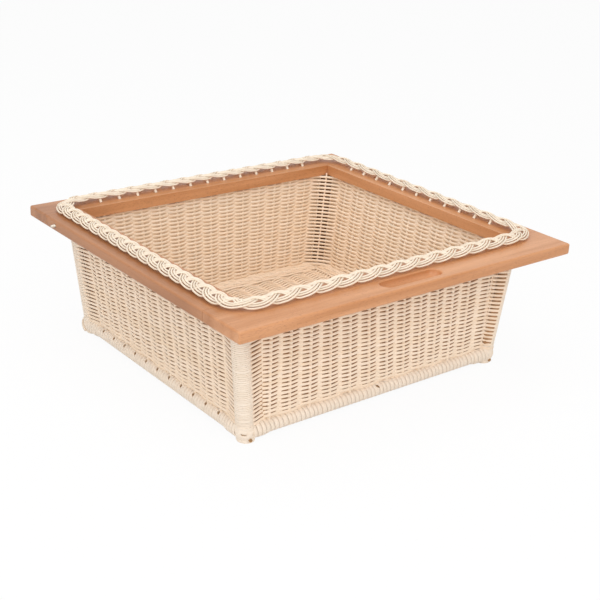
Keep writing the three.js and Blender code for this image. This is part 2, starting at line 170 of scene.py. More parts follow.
def beech(name, turn, run_out):
    """Satin beech, its grain turned to run along a board, with short dark rays. At the back left it is
    darker, partly as painted shade and partly as a deeper wood.
    """
    material, paint = new_finish(name)
    place = paint.node("TexCoord", output="Object")
    rotation = (0, math.radians(run_out), math.radians(turn))
    along = paint.node("Mapping", {"Vector": place, "Rotation": rotation})
    across, back = (paint.node("SeparateXYZ", {"Vector": place}, output=axis) for axis in "XY")
    # Painted shade, partly also a deeper wood: the boards darken towards the left, away from the front.
    darker = between(paint, (DARK_END - across) * (1 / DARK_LENGTH), 0, 1)
    darker = darker * between(paint, (back - LIGHT_FRONT) * (1 / LIGHT_LENGTH), 0, 1)
    rings = between(paint, noise_on(paint, 3, along, stretch=RING_SIZE), 0.36, 0.66)
    fine = noise_on(paint, 3, along, stretch=GRAIN_SIZE)
    grain = rings * RING_SHARE + fine * (1 - RING_SHARE)
    rays = between(paint, noise_on(paint, 1, along, stretch=RAY_SIZE), 0.60, 0.70)
    light_wood = blend_colours(paint, grain, tint(BEECH_PALE), tint(BEECH_DEEP))
    shade_and_dark_wood = blend_colours(paint, grain, tint(SHADE_AND_DARK_BEECH_PALE), tint(SHADE_AND_DARK_BEECH_DEEP))
    colour = blend_colours(paint, darker, light_wood, shade_and_dark_wood)
    colour = blend_colours(paint, rays * RAY_SHARE, colour, tint(BEECH_RAY))
    close_finish(
        paint, fine * (1 - RAY_SHARE) - rays * RAY_SHARE, GRAIN_RELIEF,
        Base_Color=colour, Roughness=0.34 + fine * 0.16, Coat_Weight=0.2, Coat_Roughness=0.3,
    )
    return material


def new_object(name, data):
    """A new object in the scene."""
    made = bpy.data.objects.new(name, data)
    bpy.context.scene.collection.objects.link(made)
    return made


def add_piece(name, mesh, material, slot, *nodes):
    """Make a mesh an object that rides on the basket and stands for these CAD nodes."""
    data = bpy.data.meshes.new(name)
    mesh.to_mesh(data)
    mesh.free()
    data.polygons.foreach_set("use_smooth", [True] * len(data.polygons))
    data.set_sharp_from_angle(angle=SMOOTH_BELOW)
    data.materials.append(material)
    piece = new_object(name, data)
    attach(piece, "root")
    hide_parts(*nodes)
    return piece


def board(node):
    """A board the size of its CAD node, with the frame's lip rounded and the other edges eased."""
    low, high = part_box(node)
    frame_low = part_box("front_rail")[0]
    frame_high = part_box("back_rail")[1]
    mesh = bmesh.new()
    bmesh.ops.create_cube(mesh, size=1, matrix=Matrix.LocRotScale((low + high) / 2, None, high - low))

    def lip_sides(edge):
        """How many of the frame's outer sides an edge lies on."""
        return sum(
            all(abs(corner.co[axis] - side[axis]) < ARRIS / 10 for corner in edge.verts)
            for side in (frame_low, frame_high) for axis in (0, 1)
        )

    def is_upright(edge):
        return abs(edge.verts[0].co.z - edge.verts[1].co.z) > ARRIS

    def ease(edges, size, steps):
        bmesh.ops.bevel(
            mesh, geom=edges, offset=size, segments=steps, profile=0.5, affect="EDGES", material=-1,
        )

    lip = [edge for edge in mesh.edges if lip_sides(edge) >= (2 if is_upright(edge) else 1)]
    ease(lip, LIP_ROUNDING, ROUNDING_STEPS)
    sharp = [edge for edge in mesh.edges if edge.calc_face_angle(0) > SMOOTH_BELOW]
    ease(sharp, ARRIS, ARRIS_STEPS)
    return mesh


def flat_face(mesh, direction):
    """The largest face that looks this way."""
    looks = [face for face in mesh.faces if face.normal.dot(Vector(direction)) > FACING]
    return max(looks, key=lambda face: face.calc_area())


def sink_hollow(mesh, face, middle, width, length, depth, rim, rounding):
    """Sink a round-ended hollow with an eased rim and a rounded bottom into a flat face."""
    normal = face.normal.copy()
    outline = list(face.edges)
    bmesh.ops.delete(mesh, geom=[face], context="FACES_ONLY")
    turn = normal.to_track_quat("Z", "Y").to_matrix().to_4x4()
    turn = turn @ Matrix.Rotation(math.pi / HOLLOW_SIDES, 4, "Z")
    ring = bmesh.ops.create_circle(
        mesh, cap_ends=True, segments=HOLLOW_SIDES, radius=width / 2,
        matrix=Matrix.Translation(middle) @ turn,
    )["verts"]
    for corner in ring:
        corner.co.x += math.copysign((length - width) / 2, corner.co.x - middle.x)
    ring_edges = list({edge for corner in ring for edge in corner.link_edges})
    cap = ring_edges[0].link_faces[0]
    if cap.normal.dot(normal) < 0:
        bmesh.ops.reverse_faces(mesh, faces=[cap])
    bmesh.ops.triangle_fill(mesh, use_beauty=True, edges=outline + ring_edges, normal=normal)
    section = [(rim * math.sin(angle), rim * (1 - math.cos(angle))) for angle in QUARTER_TURN]
    section += [
        (rim + rounding * (1 - math.cos(angle)), depth - rounding * (1 - math.sin(angle)))
        for angle in QUARTER_TURN
    ]
    for (inset, level), (next_inset, next_level) in zip(section, section[1:]):
        bmesh.ops.inset_region(
            mesh, faces=[cap], thickness=next_inset - inset, depth=level - next_level,
            use_boundary=True, use_even_offset=True,
        )


BEECH_ALONG_X = beech("beech_along_x", 0, RUN_OUT_ALONG_X)
BEECH_ALONG_Y = beech("beech_along_y", 90, RUN_OUT_ALONG_Y)
FRONT_LOW, FRONT_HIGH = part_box("front_rail")
RAIL_UNDERSIDE = FRONT_LOW.z
RAIL_TOP = FRONT_HIGH.z
front_board = board("front_rail")
sink_hollow(
    front_board, flat_face(front_board, (0, 0, 1)), Vector((0, FRONT_LOW.y + GRIP_FROM_FRONT, RAIL_TOP)),
    GRIP_WIDTH, GRIP_LENGTH, GRIP_DEPTH, GRIP_RIM, GRIP_ROUNDING,
)
boards = {"front_rail": front_board, "back_rail": board("back_rail")}
for side, way in (("left", -1), ("right", 1)):
    side_board = board(f"{side}_rail")
    pin_low, pin_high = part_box(f"stop_pin_{side}")
    hole = (pin_low + pin_high) / 2
    hole.x = way * FRONT_HIGH.x
    sink_hollow(
        side_board, flat_face(side_board, (way, 0, 0)), hole,
        PIN_HOLE, PIN_HOLE, PIN_HOLE_DEPTH, PIN_HOLE_RIM, PIN_HOLE_RIM,
    )
    boards[f"{side}_rail"] = side_board
for node, mesh in boards.items():
    finish = BEECH_ALONG_X if node in ("front_rail", "back_rail") else BEECH_ALONG_Y
    piece = add_piece(f"{node}_board", mesh, finish, "beech", node)
    piece.modifiers.new("flat_faces_stay_flat", "WEIGHTED_NORMAL").keep_sharp = True

# Corner dowels. Short turned beech dowels, glued into the butt joints of the boards: two to a corner, and
# out of sight once the frame is together.
for name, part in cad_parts.items():
    if name.startswith("dowel_"):
        part.data.materials.clear()
        part.data.materials.append(BEECH_ALONG_Y)

# Stop pins. A bright drawn pin is knocked into each side board near the back, and stands out a little to
# catch the runner's stop. Its tip is rounded, and it has a shallow collar in the mouth of the hole.
PIN_TIP = 0.0012
PIN_COLLAR = 0.0004
PIN_COLLAR_LENGTH = 0.0016
ROUND_SIDES = 32
PIN_STEEL = "E4DCCF"
PIN_DULL = "B5AA9A"
PIN_RING_SIZE = (0.0003, 0.005, 0.005)
PIN_RELIEF = 0.00002
PIN_BLOOMS_PER_METRE = 500
WELD = 1e-6


def turned(profile):
    """A solid turned round the Z axis from radii and heights that start and end at radius 0."""
    mesh = bmesh.new()
    corners = [mesh.verts.new((radius, 0, height)) for radius, height in profile]
    edges = [mesh.edges.new(pair) for pair in zip(corners, corners[1:])]
    bmesh.ops.spin(
        mesh, geom=corners + edges, cent=(0, 0, 0), axis=(0, 0, 1), angle=2 * math.pi,
        steps=ROUND_SIDES, use_merge=True,
    )
    bmesh.ops.remove_doubles(mesh, verts=mesh.verts, dist=WELD)
    bmesh.ops.recalc_face_normals(mesh, faces=mesh.faces)
    return mesh


def bright_steel():
    """Drawn steel with fine rings from the drawing, and a dull bloom."""
    material, paint = new_finish("bright_pin")
    rings = noise_on(paint, 2, stretch=PIN_RING_SIZE)
    bloom = noise_on(paint, 2, scale=PIN_BLOOMS_PER_METRE)
    colour = blend_colours(paint, bloom, tint(PIN_STEEL), tint(PIN_DULL))
    close_finish(
        paint, rings, PIN_RELIEF,
        Base_Color=colour, Roughness=0.3 + bloom * 0.25, Metallic=0.7 + bloom * 0.2,
    )
    return material


PIN_FINISH = bright_steel()
for side, way in (("left", -1), ("right", 1)):
    low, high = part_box(f"stop_pin_{side}")
    middle = (low + high) / 2
    radius = (high.y - low.y) / 2
    length = high.x - low.x
    lip = FRONT_HIGH.x - (abs(middle.x) - length / 2)
    collar = [(radius, lip - PIN_COLLAR_LENGTH), (radius + PIN_COLLAR, lip - PIN_COLLAR_LENGTH + PIN_COLLAR)]
    collar += [(radius + PIN_COLLAR, lip - PIN_COLLAR), (radius, lip)]
    tip = [
        (radius - PIN_TIP * (1 - math.cos(angle)), length - PIN_TIP * (1 - math.sin(angle)))
        for angle in QUARTER_TURN
    ]
    mesh = turned([(0, 0), (radius, 0)] + collar + tip + [(0, length)])
    middle.x -= way * length / 2
    lay = Matrix.Translation(middle) @ Matrix.Rotation(way * math.pi / 2, 4, "Y")
    bmesh.ops.transform(mesh, matrix=lay, verts=mesh.verts)
    add_piece(f"stop_pin_{side}_turned", mesh, PIN_FINISH, "pin", f"stop_pin_{side}")

# Corner posts. Peeled rattan poles, tenoned up into the boards, that lean out towards the frame and stand a
# little inside the lines of the stakes. Their lower ends are left thicker and sawn flat, so the basket also
# stands by itself. A peg holds each to its bar.
STAKE_SET_BACK = 0.0085
FRONT_STAKES = FRONT_HIGH.y - STAKE_SET_BACK
BACK_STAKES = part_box("back_rail")[0].y + STAKE_SET_BACK
SIDE_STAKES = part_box("right_rail")[0].x + STAKE_SET_BACK
BASKET_MIDDLE = (FRONT_STAKES + BACK_STAKES) / 2
POST_SET_IN = 0.0026
POST_AT_RAILS = Vector((SIDE_STAKES - POST_SET_IN, BACK_STAKES - BASKET_MIDDLE - POST_SET_IN))
POST_AT_FLOOR = Vector((0.2115, 0.1955))
POST_CORE = 0.0103
FOOT_RADIUS = 0.0114
FOOT_HEIGHT = 0.0225
FOOT_CHAMFER = 0.002
TENON_RADIUS = 0.004
TENON_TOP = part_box("post_front_left")[1].z
PEG_RADIUS = 0.0023
PEG_LENGTH = 0.006
PEG_FROM_AXIS = 0.0112
PEG_HEIGHT = 0.0052
PEG_TURN = 0.1
CORNERS = {"front_left": (-1, -1), "front_right": (1, -1), "back_right": (1, 1), "back_left": (-1, 1)}
# The pole's brown is partly painted shade: it shows mostly in the slits and gaps of the cane over it.
POLE_PALE = "C79F6C"
POLE_DEEP = "7E5530"
POLE_STREAK_LENGTH = 0.04
POLE_STREAK_WIDTH = 0.0015
POLE_RELIEF = 0.0002


def lean(corner):
    """The matrix that stands a post or its binding, made round the Z axis, in its corner of the basket."""
    across, back = CORNERS[corner]
    slope = (POST_AT_RAILS - POST_AT_FLOOR) / RAIL_UNDERSIDE
    row_x = (1, 0, across * slope.x, across * POST_AT_FLOOR.x)
    row_y = (0, 1, back * slope.y, BASKET_MIDDLE + back * POST_AT_FLOOR.y)
    return Matrix((row_x, row_y, (0, 0, 1, 0), (0, 0, 0, 1)))


def pole(name, axis):
    """Peeled pole with brown streaks of skin left along it. Its brown is kept dark, partly as painted shade,
    since it shows mostly through the slits and gaps of the cane bound over it.
    """
    material, paint = new_finish(name)
    size = [POLE_STREAK_LENGTH if axis == way else POLE_STREAK_WIDTH for way in "xyz"]
    streaks = noise_on(paint, 4, stretch=size)
    colour = blend_colours(paint, streaks * 1.4 - 0.2, tint(POLE_PALE), tint(POLE_DEEP))
    close_finish(paint, streaks, POLE_RELIEF, Base_Color=colour, Roughness=0.5 + streaks * 0.3)
    return material


POST_POLE = pole("peeled_post", "z")
for corner, (across, back) in CORNERS.items():
    shoulder = RAIL_UNDERSIDE - ARRIS
    foot = [(0, 0), (FOOT_RADIUS - FOOT_CHAMFER, 0), (FOOT_RADIUS, FOOT_CHAMFER), (FOOT_RADIUS, FOOT_HEIGHT)]
    stem = [(POST_CORE, FOOT_HEIGHT + FOOT_CHAMFER), (POST_CORE, shoulder)]
    tenon = [(TENON_RADIUS, shoulder), (TENON_RADIUS, TENON_TOP), (0, TENON_TOP)]
    mesh = turned(foot + stem + tenon)
    facing = Vector((PEG_TURN * across, back, 0)).normalized()
    peg = Matrix.Translation(facing * PEG_FROM_AXIS + Vector((0, 0, PEG_HEIGHT)))
    bmesh.ops.create_cone(
        mesh, cap_ends=True, segments=ROUND_SIDES, radius1=PEG_RADIUS, radius2=PEG_RADIUS, depth=PEG_LENGTH,
        matrix=peg @ facing.to_track_quat("Z", "Y").to_matrix().to_4x4(),
    )
    bmesh.ops.transform(mesh, matrix=lean(corner), verts=mesh.verts)
    add_piece(f"post_{corner}_pole", mesh, POST_POLE, "pole", f"post_{corner}")

# Post bindings. One narrow strip of pale split cane is wound tight round each post from the foot to the
# boards, with a few turns that stand apart. Round the foot wider strips cross over each other and lock the
# base bars to the post: FOOT_BANDS gives each one's height, radius, and tilt and turn in degrees.
POST_STRIP = 0.00275
POST_WANDER = 0.0007
WANDER_LENGTH = 0.006
POST_GAPS = (0.148, 0.104, 0.058, 0.043, 0.032)
POST_GAP_OPENING = 0.0008
POST_GAP_REACH = 0.004
STRIP_THICKNESS = 0.0017
POST_CROWN = 0.9
STRIP_SIDES = 10
STRIP_EDGE = 0.5
STRIP_GAP_SHARE = 0.06
TURN_STEPS = 24
FOOT_STRIP = 0.0056
FOOT_CROWN = 0.5
FOOT_BANDS = (
    (0.0028, 0.0103, 3, 0), (0.0094, 0.0112, -5, 40), (0.0158, 0.0113, 6, 100), (0.0213, 0.0110, -4, 160),
    (0.0118, 0.0121, 34, 20), (0.0122, 0.0124, -38, 75), (0.0124, 0.0122, -58, 10),
)
NEXT_FOOT_TURN = 40
FLOOR_CLEARANCE = 0.0002
CANE_PALE = "F9EDDF"
CANE_DEEP = "EBD8C0"
CANE_MARK = "CDB08C"
CANE_PATCHES_PER_METRE = 45
CANE_MARKS_PER_METRE = 420
CANE_RELIEF = 0.00008
CANE_STREAKS = {"x": (0.0012, 0.012, 0.012), "y": (0.012, 0.0012, 0.012), "z": (0.016, 0.016, 0.0011)}


def strip_section(width, thickness, crown):
    """Corners of a strip with rounded edges: their heights over the pole and their places along it."""
    def squared(level, power):
        return math.copysign(abs(level) ** power, level)

    corners = []
    for step in range(STRIP_SIDES):
        angle = 2 * math.pi * (step + 0.5) / STRIP_SIDES
        height = thickness / 2 * (1 + squared(math.sin(angle), crown))
        corners.append((height, width / 2 * squared(math.cos(angle), STRIP_EDGE)))
    return corners


def close_ends(mesh):
    """Fill the open ends of strips or rods, and turn every face outwards."""
    bmesh.ops.holes_fill(mesh, edges=[edge for edge in mesh.edges if edge.is_boundary])
    bmesh.ops.recalc_face_normals(mesh, faces=mesh.faces)


def wind_strip(radius, start, pitch, turns, thickness, crown):
    """One strip wound close round the Z axis from a height upwards, with its ends closed."""
    mesh = bmesh.new()
    section = strip_section(pitch * (1 - STRIP_GAP_SHARE), thickness, crown)
    corners = [mesh.verts.new((radius + out, 0, start + up)) for out, up in section]
    edges = [mesh.edges.new(pair) for pair in zip(corners, corners[1:] + corners[:1])]
    bmesh.ops.spin(
        mesh, geom=corners + edges, cent=(0, 0, 0), axis=(0, 0, 1), dvec=(0, 0, pitch / TURN_STEPS),
        angle=2 * math.pi, steps=TURN_STEPS,
    )
    first_turn = mesh.verts[:] + mesh.edges[:] + mesh.faces[:]
    for turn in range(1, turns):
        copied = bmesh.ops.duplicate(mesh, geom=first_turn)["geom"]
        points = [part for part in copied if isinstance(part, bmesh.types.BMVert)]
        bmesh.ops.translate(mesh, vec=(0, 0, pitch * turn), verts=points)
    bmesh.ops.remove_doubles(mesh, verts=mesh.verts, dist=WELD)
    close_ends(mesh)
    return mesh


def parted(place, gap, opening, reach):
    """How far a gap pushes a turn of the winding aside at a place along it."""
    aside = (place - gap) / reach
    return math.copysign(opening, aside) * math.exp(-aside * aside)


def tie_band(mesh, middle, radius, tilt, turn):
    """Add a closed loop of wide strip round a foot, tilted by so many degrees towards a compass turn."""
    tip = Matrix.Rotation(math.radians(turn), 4, "Z") @ Matrix.Rotation(math.radians(tilt), 4, "X")
    place = Matrix.Translation(middle) @ tip
    section = strip_section(FOOT_STRIP, STRIP_THICKNESS, FOOT_CROWN)
    corners = [mesh.verts.new(place @ Vector((radius + out, 0, up))) for out, up in section]
    edges = [mesh.edges.new(pair) for pair in zip(corners, corners[1:] + corners[:1])]
    bmesh.ops.spin(
        mesh, geom=corners + edges, cent=middle, axis=tip @ Vector((0, 0, 1)), angle=2 * math.pi,
        steps=TURN_STEPS, use_merge=True,
    )


def cane(name, axis):
    """Split cane wound round an axis: a smooth pale skin with faint streaks and small brown marks."""
    material, paint = new_finish(name)
    streaks = noise_on(paint, 3, stretch=CANE_STREAKS[axis])
    patches = noise_on(paint, 2, scale=CANE_PATCHES_PER_METRE)
    marks = between(paint, noise_on(paint, 1, scale=CANE_MARKS_PER_METRE), 0.68, 0.78)
    colour = blend_colours(paint, streaks * 0.5 + patches * 0.5, tint(CANE_PALE), tint(CANE_DEEP))
    colour = blend_colours(paint, marks * 0.3, colour, tint(CANE_MARK))
    close_finish(paint, streaks, CANE_RELIEF, Base_Color=colour, Roughness=0.36 + streaks * 0.2)
    return material


POST_CANE = cane("post_cane", "z")
post_turns = round((RAIL_UNDERSIDE - FOOT_HEIGHT) / POST_STRIP) - 1
for seed, corner in enumerate(CORNERS):
    mesh = wind_strip(POST_CORE, FOOT_HEIGHT, POST_STRIP, post_turns, STRIP_THICKNESS, POST_CROWN)
    for point in mesh.verts:
        place = point.co.z
        point.co.z += POST_WANDER * noise.noise(Vector((seed, 0, place / WANDER_LENGTH)))
        point.co.z += sum(parted(place, gap, POST_GAP_OPENING, POST_GAP_REACH) for gap in POST_GAPS)
    for height, radius, tilt, turn in FOOT_BANDS:
        tie_band(mesh, Vector((0, 0, height)), radius, tilt, turn + NEXT_FOOT_TURN * seed)
    bmesh.ops.remove_doubles(mesh, verts=mesh.verts, dist=WELD)
    bmesh.ops.recalc_face_normals(mesh, faces=mesh.faces)
    for point in mesh.verts:
        point.co.z = max(point.co.z, FLOOR_CLEARANCE)
    bmesh.ops.transform(mesh, matrix=lean(corner), verts=mesh.verts)
    add_piece(f"post_binding_{corner}_cane", mesh, POST_CANE, "binding", f"post_binding_{corner}")

# Base bars. Four straight peeled rattan poles between the feet, which carry the floor and the lowest rows.
# Their ends butt against the posts, where the pegs and the strips round the feet hold them.
for axis, sides in (("x", ("front", "back")), ("y", ("left", "right"))):
    finish = pole(f"peeled_bar_{sides[0]}", axis)
    for side in sides:
        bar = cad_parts[f"base_bar_{side}"]
        bar.data.materials.clear()
        bar.data.materials.append(finish)

# Bar bindings. Flat strips of split cane wound round the base bars, doubled next to the feet. On the front
# and back they lie a little unevenly and part at the middle. On the sides a slit is left open where each
# stake of the wall comes down.
BAR_RADIUS = 0.0095
BAR_STRIP_THICKNESS = 0.0024
BROAD_STRIP = 0.007
BAR_WANDER = {"x": 0.0016, "y": 0.0004}
BAR_WANDER_LENGTH = 0.012
BAR_WANDER_ROW = 7
BAR_CROWN = {"x": 0.7, "y": 0.25}
BAR_PAST_END = 0.012
END_WRAP = 0.0016
END_WRAP_LENGTH = 0.032
END_WRAP_STEEPNESS = 4
STAKE_PITCH = 0.031
SIDE_STAKES_EACH_WAY = 5
SLIT_STRIPS = 5
SLIT_ANGLE = math.radians(48)
SLIT_SPREAD = math.radians(46)
SLIT_OPENING = 0.0021
SLIT_REACH = 0.0036


def post_reach(axis, height):
    """Half the distance between two posts' axes along X or Y at a height."""
    top, floor = (getattr(spot, axis) for spot in (POST_AT_RAILS, POST_AT_FLOOR))
    return floor + (top - floor) * height / RAIL_UNDERSIDE


BAR_CANE = {"x": cane("front_bar_cane", "x"), "y": cane("side_bar_cane", "y")}
BARS = (("front", "x", -1), ("back", "x", 1), ("left", "y", -1), ("right", "y", 1))
for seed, (side, axis, outward) in enumerate(BARS):
    low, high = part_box(f"bar_binding_{side}")
    middle = (low + high) / 2
    half = getattr(high - low, axis) / 2 + BAR_PAST_END
    if axis == "x":
        pitch = BROAD_STRIP
        lie = Matrix.Rotation(math.pi / 2, 4, "Y")
        slit_turn = math.atan2(outward * math.cos(SLIT_ANGLE), -math.sin(SLIT_ANGLE))
        slits = [0]
    else:
        pitch = STAKE_PITCH * post_reach("y", middle.z) / POST_AT_RAILS.y / SLIT_STRIPS
        lie = Matrix.Rotation(-math.pi / 2, 4, "X")
        slit_turn = math.atan2(-math.sin(SLIT_ANGLE), outward * math.cos(SLIT_ANGLE))
        numbers = range(-SIDE_STAKES_EACH_WAY, SIDE_STAKES_EACH_WAY + 1)
        slits = [number * SLIT_STRIPS * pitch for number in numbers]
    groove = pitch * (slit_turn / (2 * math.pi) + 0.5)
    turns = round(2 * half / pitch)
    start = -pitch * math.floor((half + groove) / pitch) - groove
    core = BAR_RADIUS - BAR_STRIP_THICKNESS
    mesh = wind_strip(core, start, pitch, turns, BAR_STRIP_THICKNESS, BAR_CROWN[axis])
    for point in mesh.verts:
        place = point.co.z
        near_end = max(0, 1 - (half - abs(place)) / END_WRAP_LENGTH)
        swell = 1 + END_WRAP / BAR_RADIUS * min(1, END_WRAP_STEEPNESS * near_end)
        swerve = math.atan2(point.co.y, point.co.x) - slit_turn
        swerve = math.remainder(swerve, 2 * math.pi) / SLIT_SPREAD
        opening = SLIT_OPENING * math.exp(-swerve * swerve)
        wander = noise.noise(Vector((seed, BAR_WANDER_ROW, place / BAR_WANDER_LENGTH)))
        point.co.z += BAR_WANDER[axis] * wander
        point.co.z += sum(parted(place, slit, opening, SLIT_REACH) for slit in slits)
        point.co.x *= swell
        point.co.y *= swell
    bmesh.ops.transform(mesh, matrix=Matrix.Translation(middle) @ lie, verts=mesh.verts)
    add_piece(f"bar_binding_{side}_cane", mesh, BAR_CANE[axis], "binding", f"bar_binding_{side}")

# Woven walls. Oval rattan weavers pass before one round stake and behind the next. At the corners every
# second row passes inside the post and the others go under its binding, or over it at the front right,
# where the last stake is a pair. A thin sheet in the middle of the weave fills the gaps with painted shade,
# brown outside and darkest behind the posts, and with pale painted light on its inner side.
ROW_PITCH = 0.00295
ROW_UNEVENNESS = 0.00012
ROW_DEPTH = 0.0024
ROW_AT_STAKE = 0.0036
ROW_BETWEEN = 0.0048
ROW_SWING = 0.0026
ROW_ROUNDNESS = 2
ROW_WANDER = 0.00022
ROW_WANDER_LENGTH = 0.02
ROW_WANDER_START = 100
SPAN_STEPS = 8
ROD_VARIES = (0.95, 1.04)
STAKE_THICKNESS = 0.0054
PAIR_THICKNESS = 0.0037
PAIR_APART = 0.0082
PAIR_SHIFT = 0.0145
PAIR_CLOSING = 1.5
STAKE_STEPS = 24
FRONT_STAKES_EACH_WAY = 6
WEAVE_BELOW_RAIL = 0.0024
TOP_ROW = RAIL_UNDERSIDE - WEAVE_BELOW_RAIL
BOTTOM_ROW = 0.0240
CORNER_WEB_FOOT = 0.031
PAIR_WEB_FOOT = 0.080
FLAT_ROWS_TOP = 0.040
FLAT_SWING = 0.0014
FRONT_DRIFT = 0.007
FRONT_DRIFT_MORE = 0.015
FRONT_DRIFT_SPREAD = 0.110
UNDER_BINDING = 0.0067
OVER_BINDING = 0.0129
OVER_TO = 0.004
TUCK_PAST = 0.0006
INSIDE_POST = 0.0155
STAKE_FOOT = 0.012
STAKE_INTO_RAIL = 0.004
FIBRE_LENGTH = 0.03
FIBRES_APART = 40
CORNER_ROD = 0.003
CORNER_ROD_FROM_AXIS = 0.0133
CORNER_RODS = (-52, 0, 52)
WEB_THICKNESS = 0.0006
PAIR_WEB_THICKNESS = 0.0018
WEB_ROUND_POST = 0.01215
WEB_INSIDE_CHORD = 0.005
WEB_OUTSIDE_CHORD = 0.0104
WEB_RELIEF = 0.0006
WEB_CLUMPS_PER_METRE = 320
WEAVE_COLOURS = ("FCEAD6", "F3DABD", "DCB890")
RATTAN_RELIEF = 0.00015
# Sheet colours: brown painted shade outside, pale painted light inside, darkest painted shade behind the
# posts.
PAINTED_GAP_COLOURS = ("C0956C", "946B47")
INNER_PAINTED_GAP_COLOURS = ("F2DCC0", "E0C09C")
CORNER_PAINTED_GAP_COLOURS = ("8A5522", "4A2A10")
ROW_SEED = 20
STAKE_SEED = 30
LAST_STAKE_SEED = 34
CORNER_ROD_SEED = 60


def lay_rods(mesh, paths, thickness, seed, heights=None, closed=False, roundness=ROW_ROUNDNESS):
    """Add rods along these paths to a mesh, round or of given heights, with each rod's tone and fibres."""
    draw = random.Random(seed)
    curve = bpy.data.curves.new("rods", "CURVE")
    curve.dimensions = "3D"
    curve.bevel_depth = thickness / 2
    curve.bevel_resolution = roundness
    tones, places = [], []
    sides = 4 + 2 * roundness
    around = 2 * np.pi * np.arange(sides) / sides
    for number, path in enumerate(paths):
        spline = curve.splines.new("POLY")
        spline.points.add(len(path) - 1)
        spline.points.foreach_set("co", np.column_stack((path, np.ones(len(path)))).ravel())
        spline.points.foreach_set("radius", [draw.uniform(*ROD_VARIES)] * len(path))
        spline.use_cyclic_u = closed
        spline.use_smooth = True
        lengths = np.linalg.norm(np.diff(path, axis=0), axis=1)
        along = np.concatenate(([0], np.cumsum(lengths))) / FIBRE_LENGTH + FIBRES_APART * number
        tones.append(np.full(len(path) * sides, draw.random()))
        places.append(np.column_stack((
            np.tile(np.cos(around), len(path)), np.tile(np.sin(around), len(path)), np.repeat(along, sides),
        )))
    holder = new_object("rods", curve)
    data = bpy.data.meshes.new_from_object(holder.evaluated_get(bpy.context.evaluated_depsgraph_get()))
    if heights:
        middles = np.repeat(np.concatenate(paths)[:, 2], sides)
        taller = np.repeat(np.concatenate(heights), sides) / thickness
        points = np.empty(len(data.vertices) * 3)
        data.vertices.foreach_get("co", points)
        points[2::3] = middles + (points[2::3] - middles) * taller
        data.vertices.foreach_set("co", points)
    data.attributes.new("tone", "FLOAT", "POINT").data.foreach_set("value", np.concatenate(tones))
    fibres = data.attributes.new("fibre", "FLOAT_VECTOR", "POINT").data
    fibres.foreach_set("vector", np.concatenate(places).ravel())
    mesh.from_mesh(data)
    bpy.data.objects.remove(holder)
    bpy.data.curves.remove(curve)
    bpy.data.meshes.remove(data)


def rattan(name, pale, deep, streak):
    """Round rattan core: each rod its own tone, with fibres along it and a dry, matt skin."""
    material, paint = new_finish(name)
    tone = paint.node("Attribute", settings={"attribute_name": "tone"}, output="Fac")
    fibre = paint.node("Attribute", settings={"attribute_name": "fibre"}, output="Vector")
    fibres = noise_on(paint, 3, fibre, scale=2.2)
    patches = noise_on(paint, 1, fibre, scale=0.35)
    dark = between(paint, fibres, 0.58, 0.74)
    colour = blend_colours(paint, tone * 0.5 + patches * 0.5, tint(pale), tint(deep))
    colour = blend_colours(paint, dark * 0.3, colour, tint(streak))
    close_finish(paint, fibres, RATTAN_RELIEF, Base_Color=colour, Roughness=0.5 + fibres * 0.25)
    return material


def painted_gap_fill(name, pale, deep):
    """A sheet colour of painted light and shade in the middle of the weave, seen through the gaps between its
    rows.
    """
    material, paint = new_finish(name)
    clumps = noise_on(paint, 4, scale=WEB_CLUMPS_PER_METRE)
    colour = blend_colours(paint, clumps, tint(pale), tint(deep))
    close_finish(paint, clumps, WEB_RELIEF, Base_Color=colour, Roughness=0.7 + clumps * 0.25)
    return material


def drop(height):
    """The share of the way down from the boards to the floor."""
    return (RAIL_UNDERSIDE - height) / RAIL_UNDERSIDE


def front_drift(place):
    """How far a stake of the front wall runs to the right by the time it comes down to the floor."""
    return FRONT_DRIFT + FRONT_DRIFT_MORE * math.exp(-(place / FRONT_DRIFT_SPREAD) ** 2)


def weave_line(marks):
    """Points of a rod that passes these marks, each a place, an offset and the offset's slope there."""
    line = []
    for (place, offset, slope), (next_place, next_offset, next_slope) in zip(marks, marks[1:]):
        span = next_place - place
        for share in np.arange(SPAN_STEPS) / SPAN_STEPS:
            ease = share * share * (3 - 2 * share)
            leave = slope * span * share * (1 - share) ** 2
            arrive = next_slope * span * share * share * (share - 1)
            line.append((place + span * share, offset + (next_offset - offset) * ease + leave + arrive))
    return line + [marks[-1][:2]]


